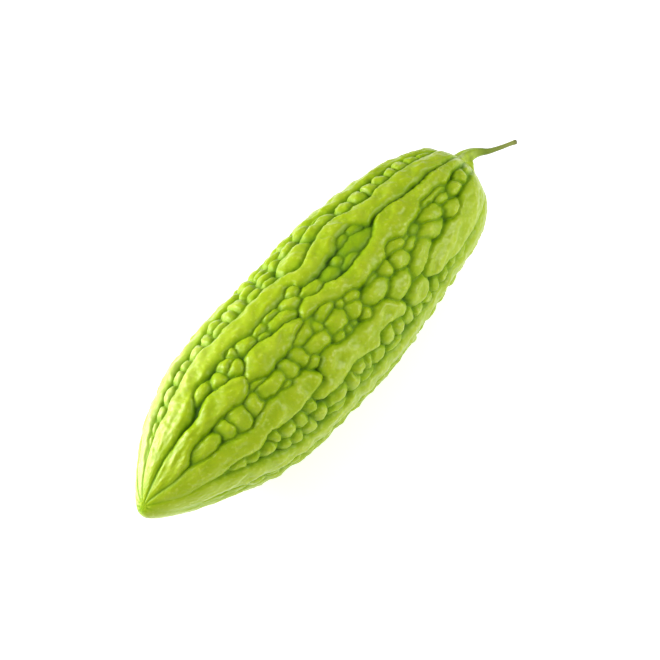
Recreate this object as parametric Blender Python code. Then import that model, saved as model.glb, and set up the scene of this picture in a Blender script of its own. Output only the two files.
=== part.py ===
"""A bitter gourd lying on its side: the warty, ridged fruit and its cut stalk.

The fruit lies along X, blossom tip at -X and stalk at +X, and rests on z = 0.
A place on the fruit is given by its station, in mm from the blossom tip, and
its angle, in degrees from the top, positive towards -Y.
"""
import math

import bpy
import numpy as np

MM = 0.001

# Driving dimensions, in mm and degrees
FRUIT_LENGTH = 219.0
TOTAL_LENGTH = 246.5
GREATEST_RADIUS = 37.1
AXIS_MIDDLE = 114.0
END_LIFT = 4.0
FLAT_SPOT_DEPTH = 1.0
RIDGE_HEIGHT = 4.2
SMOOTH_END_RADIUS = 30.0

# Outer radius over the ridges: station, radius
OUTLINE = (
    (0.0, 0.0), (2.6, 4.9), (9.2, 10.5), (20.4, 18.1), (36.6, 26.5), (58.0, 33.7),
    (81.0, 36.5), (105.0, 36.9), (131.0, GREATEST_RADIUS), (155.0, 35.0), (177.0, 31.8),
    (195.0, 27.9), (204.0, 24.2), (210.0, 20.6), (214.0, 15.8), (217.0, 10.6),
    (FRUIT_LENGTH, 7.0),
)

# Sideways sway of the fruit's axis: station, offset in Y
SWAY = (
    (0.0, -2.2), (16.0, -0.5), (36.0, 1.1), (61.0, 0.4), (91.0, -0.3), (121.0, -0.6),
    (151.0, 0.6), (181.0, 0.4), (206.0, -0.9), (FRUIT_LENGTH, -0.6),
)

# Long ridges of the upper side: station, angle, half width in degrees
RIDGES = (
    # Far ridge, broken about half way
    ((-9, -52, 13), (15, -52, 13), (30, -56, 10), (50, -59, 9), (71, -60, 8.5), (100, -60, 8)),
    ((136, -59, 5), (150, -55, 10), (177, -52, 10.5), (193, -50, 9), (209, -47, 11),
     (235, -46, 15)),
    # Upper ridge
    ((-9, -21, 16), (15, -23, 15), (25, -20.5, 15), (35, -17.5, 14.5), (44, -21.5, 11.5),
     (50, -25.7, 9.2), (58, -26, 11), (66, -25.5, 10), (73, -23, 8.7), (80, -21.5, 9),
     (90, -21.2, 9.2), (97, -22, 9), (104, -21.8, 7.4), (108.5, -22.5, 6.8), (112, -17.5, 8.5),
     (117, -14, 6.5), (121, -14.5, 7), (125, -16, 8), (130, -17.5, 7.2), (133, -17.5, 7.5),
     (137, -20.5, 9), (141, -22, 8), (147, -21.5, 7.5), (151, -18.5, 8.5), (154, -14.5, 10),
     (158, -15.5, 10), (161, -13.5, 8), (166, -13, 7.7), (172, -14, 10), (180, -13, 9.9),
     (190, -13.6, 10.4), (200, -14.8, 11.2), (211, -15, 12), (235, -15, 16)),
    # Middle ridge, in three parts
    ((-9, 7, 13), (8, 8, 12.5), (15, 11.5, 15), (23, 12, 14.5), (28, 9.5, 10.3), (36, 10, 7),
     (45, 8.5, 9.5), (55, 10, 10), (60, 10.5, 8.5), (65, 11, 3)),
    ((63, 12.5, 3.2), (66, 10.8, 4.8), (70, 9, 8), (74, 7.9, 10.2), (78, 8.6, 9.6),
     (84, 9.2, 7.8), (90, 8.8, 6.8), (95, 8.5, 5), (100, 9.2, 2.4)),
    ((100, 9, 3), (104, 6.5, 5.2), (108, 6, 5.8), (112, 8, 6), (116, 9.8, 6.8), (120, 11.5, 6.5),
     (124, 14, 5.7), (128, 15.2, 6.2), (133, 16.3, 7.2), (140, 16, 7.5), (146, 14.8, 7.7),
     (150, 11.9, 6.6), (154, 9.9, 7.9), (158, 9.2, 10.7), (162, 9.5, 12.8), (166, 8.7, 12.2),
     (170, 9, 11), (175, 9, 9.5), (179, 7, 7), (185, 7.2, 6.2), (190, 7.2, 6.7), (195, 8.5, 9),
     (199, 6.6, 7.4), (204, 5, 6), (212, 5.5, 8), (235, 8, 14)),
    # Near ridge, in three parts
    ((-9, 36, 14), (5, 34, 13), (10, 39, 13), (20, 44.5, 13.5), (30, 47.5, 12), (42, 49, 10.8),
     (50, 50, 9.5), (57, 46, 8.5), (60, 44.5, 11), (66, 44, 11), (72, 45, 10.5), (76, 45, 8.2),
     (80, 43.8, 9.2), (84, 44, 8.5), (88.5, 45.8, 5.8)),
    ((80, 55, 2.5), (84, 57, 4.8), (88, 57.3, 6.3), (91, 52.5, 11.5), (95, 49.5, 13.5),
     (99, 48.5, 13.5), (104, 49.2, 9.8), (108, 50.2, 9.8), (113, 52.2, 11.2), (118, 53.2, 11.2),
     (122, 49.8, 7.8), (126, 49, 8), (131, 51, 9), (135, 54, 8), (140, 58.5, 4.5)),
    ((157, 57, 3.5), (161, 57.8, 8.2), (166, 58.2, 10.8), (172, 57.8, 11.2), (178, 58.8, 13.2),
     (184, 59, 14.5), (192, 55.5, 15), (200, 51, 17), (208, 49.5, 17), (216, 48, 16),
     (235, 48, 16)),
    # Low ridge
    ((-9, 68, 15), (10, 72, 14), (21, 75, 13), (30, 79, 12), (41, 82, 11), (51, 85, 10),
     (61, 88, 9), (80, 89, 8), (111, 88, 8.5), (151, 88, 8.5), (171, 87, 9), (185, 91, 12),
     (208, 88, 16), (235, 88, 18)),
)

# Warts of the upper side, by the furrow that they fill: first and last station,
# lowest and highest angle, and lean in degrees
WARTS = (
    # On and beyond the far ridge
    (99.5, 107, -67, -51, 0), (107, 116.5, -69, -58.5, 0), (116, 126, -70, -62, 0),
    (126, 137, -70, -54, 0), (182, 190.5, -70, -59, 0), (190, 198.5, -72, -58, 0),
    (198, 206, -73, -57, 0), (205.5, 212.5, -75, -57, 0), (212, 220, -78, -58, 0),
    # Between the far ridge and the upper one
    (16.5, 21, -48, -38, 0), (21.5, 26, -46, -36, 0), (26.5, 31, -44, -35.5, 0),
    (31.5, 38, -44, -34, 0), (38, 47, -44, -34.5, 0), (47, 54, -46, -36, 0),
    (53.5, 60, -47, -38, 0), (60, 67.5, -47, -35.5, 0), (67.5, 74, -46, -35, 0),
    (74, 81.5, -40.5, -31, 0), (74, 82, -51, -42, 0), (81, 88, -48, -32, 0),
    (87, 94.5, -50, -32, 0), (94, 103.5, -39, -31, 0), (103, 109.5, -37, -30.5, 0),
    (94, 104, -50, -40, 0), (104, 113, -48, -38, 0), (113, 121, -50, -41.5, 0),
    (112, 132, -40.5, -23, -5), (106, 115, -58, -49, 0), (121, 132, -52, -42, 0),
    (115, 126, -62, -52, 0), (132, 152, -43, -31.5, 0), (132, 143, -55, -45, 0),
    (143, 152, -50, -44, 0), (152.5, 161, -40, -27.5, -12), (161, 168, -40, -24.5, -10),
    (168, 175, -39, -24.5, -10), (175, 182, -37, -24.5, -8), (181.5, 188, -38, -25, -8),
    (187, 194, -38, -25.5, -8), (193, 200, -38, -26.5, 0), (199, 207, -37, -27, 0),
    # Between the upper ridge and the middle one
    (44.5, 53.5, -15.5, -4.5, 0), (53, 60.8, -10.5, 0.5, 15), (60, 67.5, -12.5, -3, 10),
    (62, 69, -7, 5, -35), (66.5, 71.5, -15.5, -7, 0), (70.5, 80.5, -13, -3, 0),
    (80.3, 88, -11, -5, 0), (81, 86, -5, -0.5, 0), (88.3, 97, -12, -6.5, 0),
    (87, 101.5, -6.5, 2.5, 10), (97, 107, -11.5, 0, 25), (103, 110, -15, -6.5, 10),
    (107.5, 119.5, -6, 2.5, 10),
    # Between the middle ridge and the near one
    (27.5, 40, 19.5, 35, -5), (41, 47.5, 19, 37.5, 0), (47, 55, 18.5, 40, 8),
    (55, 62.5, 19.5, 37.5, 0), (61.5, 69, 16.5, 21, 0), (62.5, 78, 20, 32.5, 0),
    (75, 83.5, 20.5, 34.5, 0), (71.5, 77.5, 31.5, 37.5, 0), (83.3, 90, 18, 34, -12),
    (87, 103, 12, 21.5, -12), (98.5, 103.8, 14, 25.5, 0), (86.5, 92.8, 31, 39.5, 0),
    (90.5, 104, 21.5, 34.8, 0), (103.7, 115.5, 20.5, 34.5, 0), (103.3, 109, 32, 39, 0),
    (102.5, 115, 12, 20, -14), (114, 118.5, 17.5, 24, 0), (118, 125.5, 18, 27.5, 0),
    (115, 123, 24.5, 36.5, 0), (119, 125, 34.5, 44, 0), (123.8, 139.5, 26.3, 40, 8),
    (139, 146.3, 23, 35, 0), (146.3, 156.5, 25.5, 39.5, 10), (135, 150.5, 37.5, 53, 0),
    (148, 159.3, 18.3, 27.8, 12), (156, 164.3, 26.8, 34, 0), (165.5, 180, 29, 42.5, 15),
    (171.5, 185, 20.5, 33.5, 18), (184.5, 191.5, 19, 29.5, 0), (150, 170.5, 36, 51, -22),
    (183.5, 194, 31, 45, 0), (177, 192, 13.5, 20, 0), (192.5, 201.5, 19.5, 31.5, 0),
    (200.5, 209, 15, 30.5, 0), (207.5, 221, 14, 35, 0),
    # Between the near ridge and the low one
    (37, 43, 61, 68, 0), (43, 49.5, 61, 69, 0), (48.8, 56.5, 61, 72, 0), (54.5, 60, 56, 65.5, 0),
    (59.5, 67.5, 56, 69.5, 0), (67, 73.3, 57, 69, 0), (73.5, 79.3, 53.5, 64, 0),
    (57, 63, 68, 77, 0), (62.5, 69.5, 70, 79, 0), (69, 76.3, 67.5, 82, 0),
    (75.5, 83.5, 64, 75, 0), (83.5, 97, 64.5, 75, 0), (84, 93, 75, 82, 0), (96.5, 104, 63, 79, 0),
    (101.5, 109, 59.5, 71.5, 0), (107.5, 112.8, 62.5, 74.5, 0), (112, 121, 64.5, 76, 0),
    (103, 112, 74, 81, 0), (121.3, 129, 57.5, 71, 0), (128.5, 136, 60.5, 73, 0),
    (122, 132, 72.5, 80, 0), (135.5, 142, 64, 75, 0), (142, 157, 53.5, 71, 0),
    (142.5, 149.5, 70.5, 79.5, 0), (149.5, 157, 70.5, 79.5, 0), (156.5, 163, 69, 79, 0),
    (163, 170, 70, 79, 0), (170, 177, 71.5, 79, 0), (177, 185, 75, 83, 0),
)

# Warts that lie deeper than the rest
SUNKEN_WARTS = (
    (119.5, 128.5, -4.5, 5.5, 0), (128, 133.5, -5, 1.5, 0), (131, 140, 1, 7.5, 0),
    (133.5, 152.5, -7, 5.5, 6), (137, 144, -13.5, -6.5, 0), (144, 151, -13.5, -5.5, 0),
    (109.5, 114, 34.8, 40.5, 0), (113.5, 116.5, 35, 39.5, 0), (130.5, 138, 23.5, 29, 0),
    (158.3, 162, 22, 26.5, 0), (163.5, 169.5, 21.5, 29, 0),
)

# Ridges and warts of the underside, placed by a rule
UNDER_RIDGES = (118.0, 149.0, 180.0, 211.0, 241.0, 270.0)
RESTING_RIDGE = 180.0
FIRST_UPPER_RIDGE = 300.0
LAST_UPPER_RIDGE = 88.0
UNDER_SEED = 41

# How ridges and warts stand up and meet: lengths in mm, depth as a share
RIDGE_ROUNDING = 4.7
DOME_POWER = 0.6
WART_SQUARENESS = 2.1
SUNKEN_CROWN = 0.72
OVERGROWTH = 1.1
CREASE_WIDTH = 0.65
CREASE_DEPTH = 0.42
FAR_AWAY = 9.0
WAVER = 0.4
JAGGEDNESS = 0.18
JAG_SPACING = (6.0, 2.8)
HOLLOW = 0.35

# The ridges gather a little above the tip of the axis, in mm
GATHER_LIFT = 6.0
GATHER_REACH = 16.0

# Patches of smoother skin: angle and spread in degrees, station and reach in mm,
# and how much of the relief is taken away
SMOOTH_PATCHES = ((98.0, 58.0, 0.0, 60.0, 0.8), (84.0, 26.0, 208.0, 46.0, 0.7))

# Lumps along the ridges, as a share of their height, and their spacing in mm
LUMPINESS = 0.22
LUMP_SPACING = (17.0, 7.0)

# Stalk: station, offset in Y, offset in Z from the axis, radius, depth of its ribs.
# Its foot stands 0.3 mm off the fruit's end face.
STALK_PATH = (
    (219.3, 0.6, 0.0, 6.8, 0.21), (220.5, 1.0, 0.0, 6.0, 0.18), (222.0, 1.4, 0.0, 5.0, 0.15),
    (224.4, 1.9, 0.1, 3.9, 0.11), (227.0, 1.5, 0.2, 3.0, 0.08), (229.3, 0.4, 0.3, 2.35, 0.07),
    (231.5, -1.4, 0.4, 1.8, 0.06), (233.8, -3.7, 0.4, 1.35, 0.06), (236.6, -5.5, 0.4, 1.1, 0.06),
    (240.0, -7.3, 0.3, 1.0, 0.06), (243.4, -8.9, 0.2, 0.95, 0.06), (246.3, -10.3, 0.0, 1.1, 0.06),
)
STALK_SIDES = 20
STALK_RIBS = 5

# The foot stands square to the fruit's end up to one station, and follows the
# stalk's path from another
FOOT_SQUARE_TO = 219.0
FOOT_FOLLOWS_FROM = 226.0

# Fineness of the meshes
STATION_STEP = 1.1
COLUMNS = 240
FRUIT_TRIANGLES = 11600

FRUIT_START = -TOTAL_LENGTH / 2
AXIS_HEIGHT = GREATEST_RADIUS - FLAT_SPOT_DEPTH


def clear_scene():
    for obj in list(bpy.data.objects):
        bpy.data.objects.remove(obj, do_unlink=True)


def plain_material(name, colour, roughness):
    """A Principled material of one finish."""
    material = bpy.data.materials.new(name)
    material.use_nodes = True
    shader = material.node_tree.nodes["Principled BSDF"]
    shader.inputs["Base Color"].default_value = (*colour, 1.0)
    shader.inputs["Roughness"].default_value = roughness
    shader.inputs["Metallic"].default_value = 0.0
    material.diffuse_color = (*colour, 1.0)
    return material


def smooth_through(knots, values, at):
    """A curve through the knots that never swings past them (monotone cubic)."""
    knots = np.asarray(knots, float)
    values = np.asarray(values, float)
    gap = np.diff(knots)
    slope = np.diff(values) / gap
    tangent = np.zeros_like(values)
    tangent[0] = slope[0]
    tangent[-1] = slope[-1]
    for i in range(1, len(slope)):
        if slope[i - 1] * slope[i] > 0:
            before = 2 * gap[i] + gap[i - 1]
            after = gap[i] + 2 * gap[i - 1]
            tangent[i] = (before + after) / (before / slope[i - 1] + after / slope[i])
    at = np.clip(at, knots[0], knots[-1])
    i = np.clip(np.searchsorted(knots, at, side="right") - 1, 0, len(gap) - 1)
    t = (at - knots[i]) / gap[i]
    rise = gap[i] * ((t ** 3 - 2 * t ** 2 + t) * tangent[i] + (t ** 3 - t ** 2) * tangent[i + 1])
    return values[i] + (3 * t ** 2 - 2 * t ** 3) * (values[i + 1] - values[i]) + rise


def ease(value):
    """0 below 0, 1 above 1, and a smooth step between."""
    value = np.clip(value, 0.0, 1.0)
    return value * value * (3 - 2 * value)


def outer_radius(station):
    """Radius over the ridges. Its square is interpolated, which rounds the tip."""
    stations, radii = zip(*OUTLINE)
    squared = smooth_through(stations, np.square(radii), station)
    return np.sqrt(np.maximum(squared, 0.0))


def axis_point(station):
    """Offset of the fruit's axis in Y and its height."""
    sway = smooth_through(*zip(*SWAY), station)
    lift = END_LIFT * (station / AXIS_MIDDLE - 1) ** 2
    return sway, AXIS_HEIGHT + lift


def turn_between(angle, centre):
    """Signed turn in degrees from the centre to the angle, the short way round."""
    return (angle - centre + 180.0) % 360.0 - 180.0


def gathered(angle, radius):
    """The angle seen from the point where the ridges gather, near the tip."""
    lift = GATHER_LIFT * (1 - ease(radius / GATHER_REACH))
    sideways = radius * np.sin(np.radians(angle))
    upwards = radius * np.cos(np.radians(angle)) - lift
    return np.degrees(np.arctan2(sideways, upwards))


def ripple(station, angle, seed, longest=26.0, shortest=9.0, waves=9):
    """A smooth random field between about -1 and 1, with wavelengths in mm."""
    rng = np.random.default_rng(seed)
    girth = math.tau * GREATEST_RADIUS
    field = np.zeros_like(angle)
    for _ in range(waves):
        size = rng.uniform(math.tau / longest, math.tau / shortest)
        heading = rng.uniform(0, math.tau)
        turns = round(size * math.sin(heading) * girth / math.tau)
        pitch = size * math.cos(heading)
        field += np.sin(np.radians(angle) * turns + pitch * station + rng.uniform(0, math.tau))
    return field / math.sqrt(waves)


def strength(station, angle):
    """How far the relief stands out: less at both ends, and in the smooth patches."""
    soft = np.ones_like(angle)
    for centre, spread_out, middle, reach, share in SMOOTH_PATCHES:
        beside = ease(1.5 - np.abs(turn_between(angle, centre)) / spread_out)
        soft -= share * beside * (1 - ease(np.abs(station - middle) / reach))
    return ease(outer_radius(station) / SMOOTH_END_RADIUS), soft


def ridge_distance(path, station, angle, per_degree):
    """Distance in mm from a ridge's edge, negative inside."""
    stations, angles, widths = zip(*path)
    half_width = smooth_through(stations, widths, station) * per_degree
    across = turn_between(angle, smooth_through(stations, angles, station)) * per_degree
    past = np.maximum(stations[0] + half_width - station, station - stations[-1] + half_width)
    return np.hypot(across, np.maximum(past, 0.0)) - half_width


def wart_distance(wart, station, angle, per_degree):
    """Distance in mm from a wart's edge, negative inside."""
    first, last, low, high, lean = wart
    half_long, half_wide = wart_half_sizes(wart)
    along = station - (first + last) / 2
    across = turn_between(angle, (low + high) / 2) * per_degree
    turn = math.radians(lean)
    u = (along * math.cos(turn) + across * math.sin(turn)) / half_long
    v = (across * math.cos(turn) - along * math.sin(turn)) / half_wide
    edge = (np.abs(u) ** WART_SQUARENESS + np.abs(v) ** WART_SQUARENESS) ** (1 / WART_SQUARENESS)
    return (edge - 1) * min(half_long, half_wide)


def wart_half_sizes(wart):
    first, last, low, high, _ = wart
    girth_radius = float(outer_radius((first + last) / 2))
    return (last - first) / 2, (high - low) / 2 * math.radians(girth_radius)


def under_ridges(rng):
    """The ridges that the fruit lies on: each wanders a little, and some are broken."""
    ridges = []
    for number, centre in enumerate(UNDER_RIDGES):
        resting = centre == RESTING_RIDGE
        breaks = [] if resting else sorted(rng.uniform(70, 170, 1 + number % 2))
        ends = [-9.0, *breaks, 235.0]
        sway = 0.5 if resting else rng.uniform(1.5, 3.5)
        phase = rng.uniform(0, math.tau)
        for first, last in zip(ends[:-1], ends[1:]):
            path = []
            for station in np.linspace(first, last, 9):
                end_spread = min(max(0.0, 34 - station, station - 190) / 20, 1.0)
                width = (10.0 if resting else 8.5) + 8.0 * end_spread + rng.uniform(-1.0, 1.0)
                angle = centre + sway * math.sin(station / 24 + phase)
                path.append((station, angle, width))
            ridges.append(tuple(path))
    return ridges


def under_warts(rng):
    """Rows of warts in the furrows of the underside."""
    centres = (LAST_UPPER_RIDGE, *UNDER_RIDGES, FIRST_UPPER_RIDGE)
    warts = []
    for low_ridge, high_ridge in zip(centres[:-1], centres[1:]):
        low = low_ridge + 7.5
        high = high_ridge - 7.5
        station = rng.uniform(20, 26)
        while station < 202:
            length = rng.uniform(6.5, 12.0)
            split = low + (high - low) * rng.uniform(0.38, 0.62)
            edges = (low, split, high) if rng.random() < 0.75 else (low, high)
            for bottom, top in zip(edges[:-1], edges[1:]):
                first = station + rng.uniform(-1.8, 1.8)
                warts.append((first, first + length, bottom, top, rng.uniform(-22, 22)))
            station += length - 0.2
    return warts


def swellings():
    """Every ridge and wart: its distance rule, its crown as a share, and its rounding."""
    rng = np.random.default_rng(UNDER_SEED)
    found = []
    for path in (*RIDGES, *under_ridges(rng)):
        found.append((ridge_distance, path, path[0][0], path[-1][0], 1.0, RIDGE_ROUNDING))
    for wart in (*WARTS, *SUNKEN_WARTS, *under_warts(rng)):
        smallest = min(wart_half_sizes(wart))
        crown = SUNKEN_CROWN if wart in SUNKEN_WARTS else min(1.0, 0.64 + 0.1 * smallest)
        rounding = min(RIDGE_ROUNDING, smallest + OVERGROWTH)
        found.append((wart_distance, wart, wart[0], wart[1], crown, rounding))
    return found


def relief(stations, angles):
    """Height of the skin above its creases, as a share of the ridge height.

    Ridges and warts are domes that run into each other, and a crease is pressed
    in wherever a point is as near to one of them as it is to the next.
    """
    station, angle = np.meshgrid(stations, angles, indexing="ij")
    per_degree = np.radians(outer_radius(station))
    calm = ease(outer_radius(station) / SMOOTH_END_RADIUS)
    wavering = station + calm * WAVER * ripple(station, angle, 3)
    wavering += calm * JAGGEDNESS * ripple(station, angle, 7, *JAG_SPACING, waves=18)
    sideways = WAVER * ripple(station, angle, 5)
    sideways += JAGGEDNESS * ripple(station, angle, 9, *JAG_SPACING, waves=18)
    turned = gathered(angle, outer_radius(station)) + calm * sideways / np.maximum(per_degree, 0.1)
    height = np.zeros_like(angle)
    nearest = np.full_like(angle, FAR_AWAY)
    second = np.full_like(angle, FAR_AWAY)
    for rule, shape, first, last, crown, rounding in swellings():
        start, stop = np.searchsorted(stations, (first - FAR_AWAY, last + FAR_AWAY))
        rows = slice(start, stop)
        distance = rule(shape, wavering[rows], turned[rows], per_degree[rows])
        slope = 1 - np.clip((OVERGROWTH - distance) / rounding, 0.0, 1.0)
        height[rows] = np.maximum(height[rows], crown * (1 - slope ** 2) ** DOME_POWER)
        second[rows] = np.minimum(second[rows], np.maximum(nearest[rows], distance))
        nearest[rows] = np.minimum(nearest[rows], distance)
    from_crease = (second - nearest) / 2 / CREASE_WIDTH
    return height * (1 - CREASE_DEPTH * np.exp(-from_crease ** 2))


def skin_points(stations, angles):
    """Points of the skin, ring by ring from the tip to the stalk."""
    station, angle = np.meshgrid(stations, angles, indexing="ij")
    radius = outer_radius(station)
    calm, soft = strength(station, angle)
    off_rest = ease(np.abs(turn_between(angle, RESTING_RIDGE)) / 30.0)
    hollow = np.maximum(ripple(station, angle, 11, longest=60.0, shortest=22.0), 0.0)
    height = relief(stations, angles)
    lumps = (1 - ripple(station, angle, 21, *LUMP_SPACING, waves=14)) / 2
    height -= LUMPINESS * off_rest * height ** 2 * np.clip(lumps, 0.0, 1.0)
    skin = radius - RIDGE_HEIGHT * calm * soft * (1 - height)
    skin -= HOLLOW * off_rest * calm * hollow
    sway, axis_height = axis_point(station)
    x = FRUIT_START + station
    y = sway - skin * np.sin(np.radians(angle))
    z = np.maximum(axis_height + skin * np.cos(np.radians(angle)), 0.0)
    return np.stack([x, y, z], axis=-1) * MM


def skin_stations(step):
    """Stations of the rings, closer together towards both ends."""
    share = np.linspace(0, 1, round(FRUIT_LENGTH / step) + 1)[1:]
    crowded = (1 - np.cos(share * math.pi)) / 2
    return FRUIT_LENGTH * (0.75 * share + 0.25 * crowded)


def ring_mesh(name, rings, start_point, end_point):
    """A closed mesh over rings of points, with a point to close each end."""
    count, columns = rings.shape[:2]
    points = [*map(tuple, rings.reshape(-1, 3)), tuple(start_point), tuple(end_point)]
    start = count * columns
    last = start - columns
    faces = []
    for i in range(columns):
        j = (i + 1) % columns
        faces.append((start, j, i))
        faces.append((start + 1, last + i, last + j))
        for a in range(0, last, columns):
            b = a + columns
            faces.append((a + i, a + j, b + j, b + i))
    mesh = bpy.data.meshes.new(name)
    mesh.from_pydata(points, [], faces)
    mesh.update()
    return mesh


def add_object(name, mesh, material):
    obj = bpy.data.objects.new(name, mesh)
    bpy.context.scene.collection.objects.link(obj)
    mesh.materials.append(material)
    mesh.shade_smooth()
    return obj


def thin_out(obj, triangles):
    """Collapse the fine mesh to fewer triangles, and keep the resting spot flat."""
    decimate = obj.modifiers.new("thin_out", "DECIMATE")
    fine_triangles = len(obj.data.loops) - 2 * len(obj.data.polygons)
    decimate.ratio = triangles / fine_triangles
    decimate.use_collapse_triangulate = True
    evaluated = obj.evaluated_get(bpy.context.evaluated_depsgraph_get())
    thin = bpy.data.meshes.new_from_object(evaluated)
    obj.modifiers.remove(decimate)
    obj.data = thin
    for vertex in thin.vertices:
        if vertex.co.z < 0.05 * MM:
            vertex.co.z = 0.0


def make_fruit():
    angles = np.arange(COLUMNS) * 360.0 / COLUMNS
    rings = skin_points(skin_stations(STATION_STEP), angles)
    ends = []
    for station in (0.0, FRUIT_LENGTH):
        sway, height = axis_point(station)
        ends.append((np.array((FRUIT_START + station, sway, height))) * MM)
    mesh = ring_mesh("fruit", rings, *ends)
    skin = plain_material("skin", (0.33, 0.47, 0.045), 0.34)
    fruit = add_object("fruit", mesh, skin)
    thin_out(fruit, FRUIT_TRIANGLES)
    return fruit


def make_stalk():
    """A ribbed, flared foot that thins to a bent stem."""
    path = np.array([row[:3] for row in STALK_PATH])
    path[:, 0] += FRUIT_START
    path[:, 2] += axis_point(FRUIT_LENGTH)[1]
    ahead = np.gradient(path, axis=0)
    ahead /= np.linalg.norm(ahead, axis=1, keepdims=True)
    past_foot = path[:, 0] - FRUIT_START - FOOT_SQUARE_TO
    follows = ease(past_foot / (FOOT_FOLLOWS_FROM - FOOT_SQUARE_TO))[:, None]
    ahead = follows * ahead + (1 - follows) * np.array((1.0, 0.0, 0.0))
    rings = []
    for point, forward, row in zip(path, ahead, STALK_PATH):
        forward = forward / np.linalg.norm(forward)
        side = np.cross(forward, (0.0, 0.0, 1.0))
        side /= np.linalg.norm(side)
        up = np.cross(side, forward)
        ring = []
        for k in range(STALK_SIDES):
            turn = math.tau * k / STALK_SIDES
            ribbed = row[3] * (1 + row[4] * math.cos(STALK_RIBS * turn))
            ring.append(point + ribbed * (up * math.cos(turn) + side * math.sin(turn)))
        rings.append(ring)
    mesh = ring_mesh("stalk", np.array(rings) * MM, path[0] * MM, path[-1] * MM)
    return add_object("stalk", mesh, plain_material("stalk", (0.28, 0.36, 0.07), 0.55))


clear_scene()
make_fruit()
make_stalk()
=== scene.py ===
"""The looks of a bitter gourd: waxy warted skin, ribbed stalk, pale floor and soft light.

A place on the fruit is given by its station, in mm from the blossom tip, and
its angle, in degrees from the top, positive towards -Y.
"""
import math

import bpy
import numpy as np
from mathutils import Matrix, Vector


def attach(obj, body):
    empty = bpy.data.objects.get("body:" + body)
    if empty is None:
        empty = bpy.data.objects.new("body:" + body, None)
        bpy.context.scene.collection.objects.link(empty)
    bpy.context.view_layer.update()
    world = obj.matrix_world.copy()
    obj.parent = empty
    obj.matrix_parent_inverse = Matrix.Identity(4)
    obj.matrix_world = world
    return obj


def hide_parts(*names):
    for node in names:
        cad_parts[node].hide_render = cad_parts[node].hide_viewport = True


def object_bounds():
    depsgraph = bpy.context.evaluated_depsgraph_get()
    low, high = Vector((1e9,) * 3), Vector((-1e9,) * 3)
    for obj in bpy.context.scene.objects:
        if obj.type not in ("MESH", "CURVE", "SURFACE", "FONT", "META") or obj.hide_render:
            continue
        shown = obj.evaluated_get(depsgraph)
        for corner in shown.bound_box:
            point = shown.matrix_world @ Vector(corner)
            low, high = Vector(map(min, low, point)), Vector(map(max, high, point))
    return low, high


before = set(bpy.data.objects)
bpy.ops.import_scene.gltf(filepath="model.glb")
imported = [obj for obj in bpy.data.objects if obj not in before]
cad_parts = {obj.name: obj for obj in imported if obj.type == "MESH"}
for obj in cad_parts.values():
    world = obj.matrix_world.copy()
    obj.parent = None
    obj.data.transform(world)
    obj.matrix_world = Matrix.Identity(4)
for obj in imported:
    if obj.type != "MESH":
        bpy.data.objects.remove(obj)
CAD_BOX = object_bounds()

MM = 0.001

# Sizes of the fruit, as its solid has them, in mm. Its axis is lowest at the middle
# station and rises towards both ends.
FRUIT_LENGTH = 219.0
GREATEST_RADIUS = 37.1
AXIS_MIDDLE = 114.0
END_LIFT = 4.0
FLAT_SPOT_DEPTH = 1.0

# Ridges stand this high, and lower where the fruit is slimmer than the radius
RIDGE_HEIGHT = 4.2
SMOOTH_END_RADIUS = 30.0

# Outer radius over the ridges: station, radius
OUTLINE = (
    (0.0, 0.0), (2.6, 4.9), (9.2, 10.5), (20.4, 18.1), (36.6, 26.5), (58.0, 33.7),
    (81.0, 36.5), (105.0, 36.9), (131.0, GREATEST_RADIUS), (155.0, 35.0), (177.0, 31.8),
    (195.0, 27.9), (204.0, 24.2), (210.0, 20.6), (214.0, 15.8), (217.0, 10.6),
    (FRUIT_LENGTH, 7.0),
)

# Sideways sway of the fruit's axis: station, offset in Y
SWAY = (
    (0.0, -2.2), (16.0, -0.5), (36.0, 1.1), (61.0, 0.4), (91.0, -0.3), (121.0, -0.6),
    (151.0, 0.6), (181.0, 0.4), (206.0, -0.9), (FRUIT_LENGTH, -0.6),
)

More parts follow.
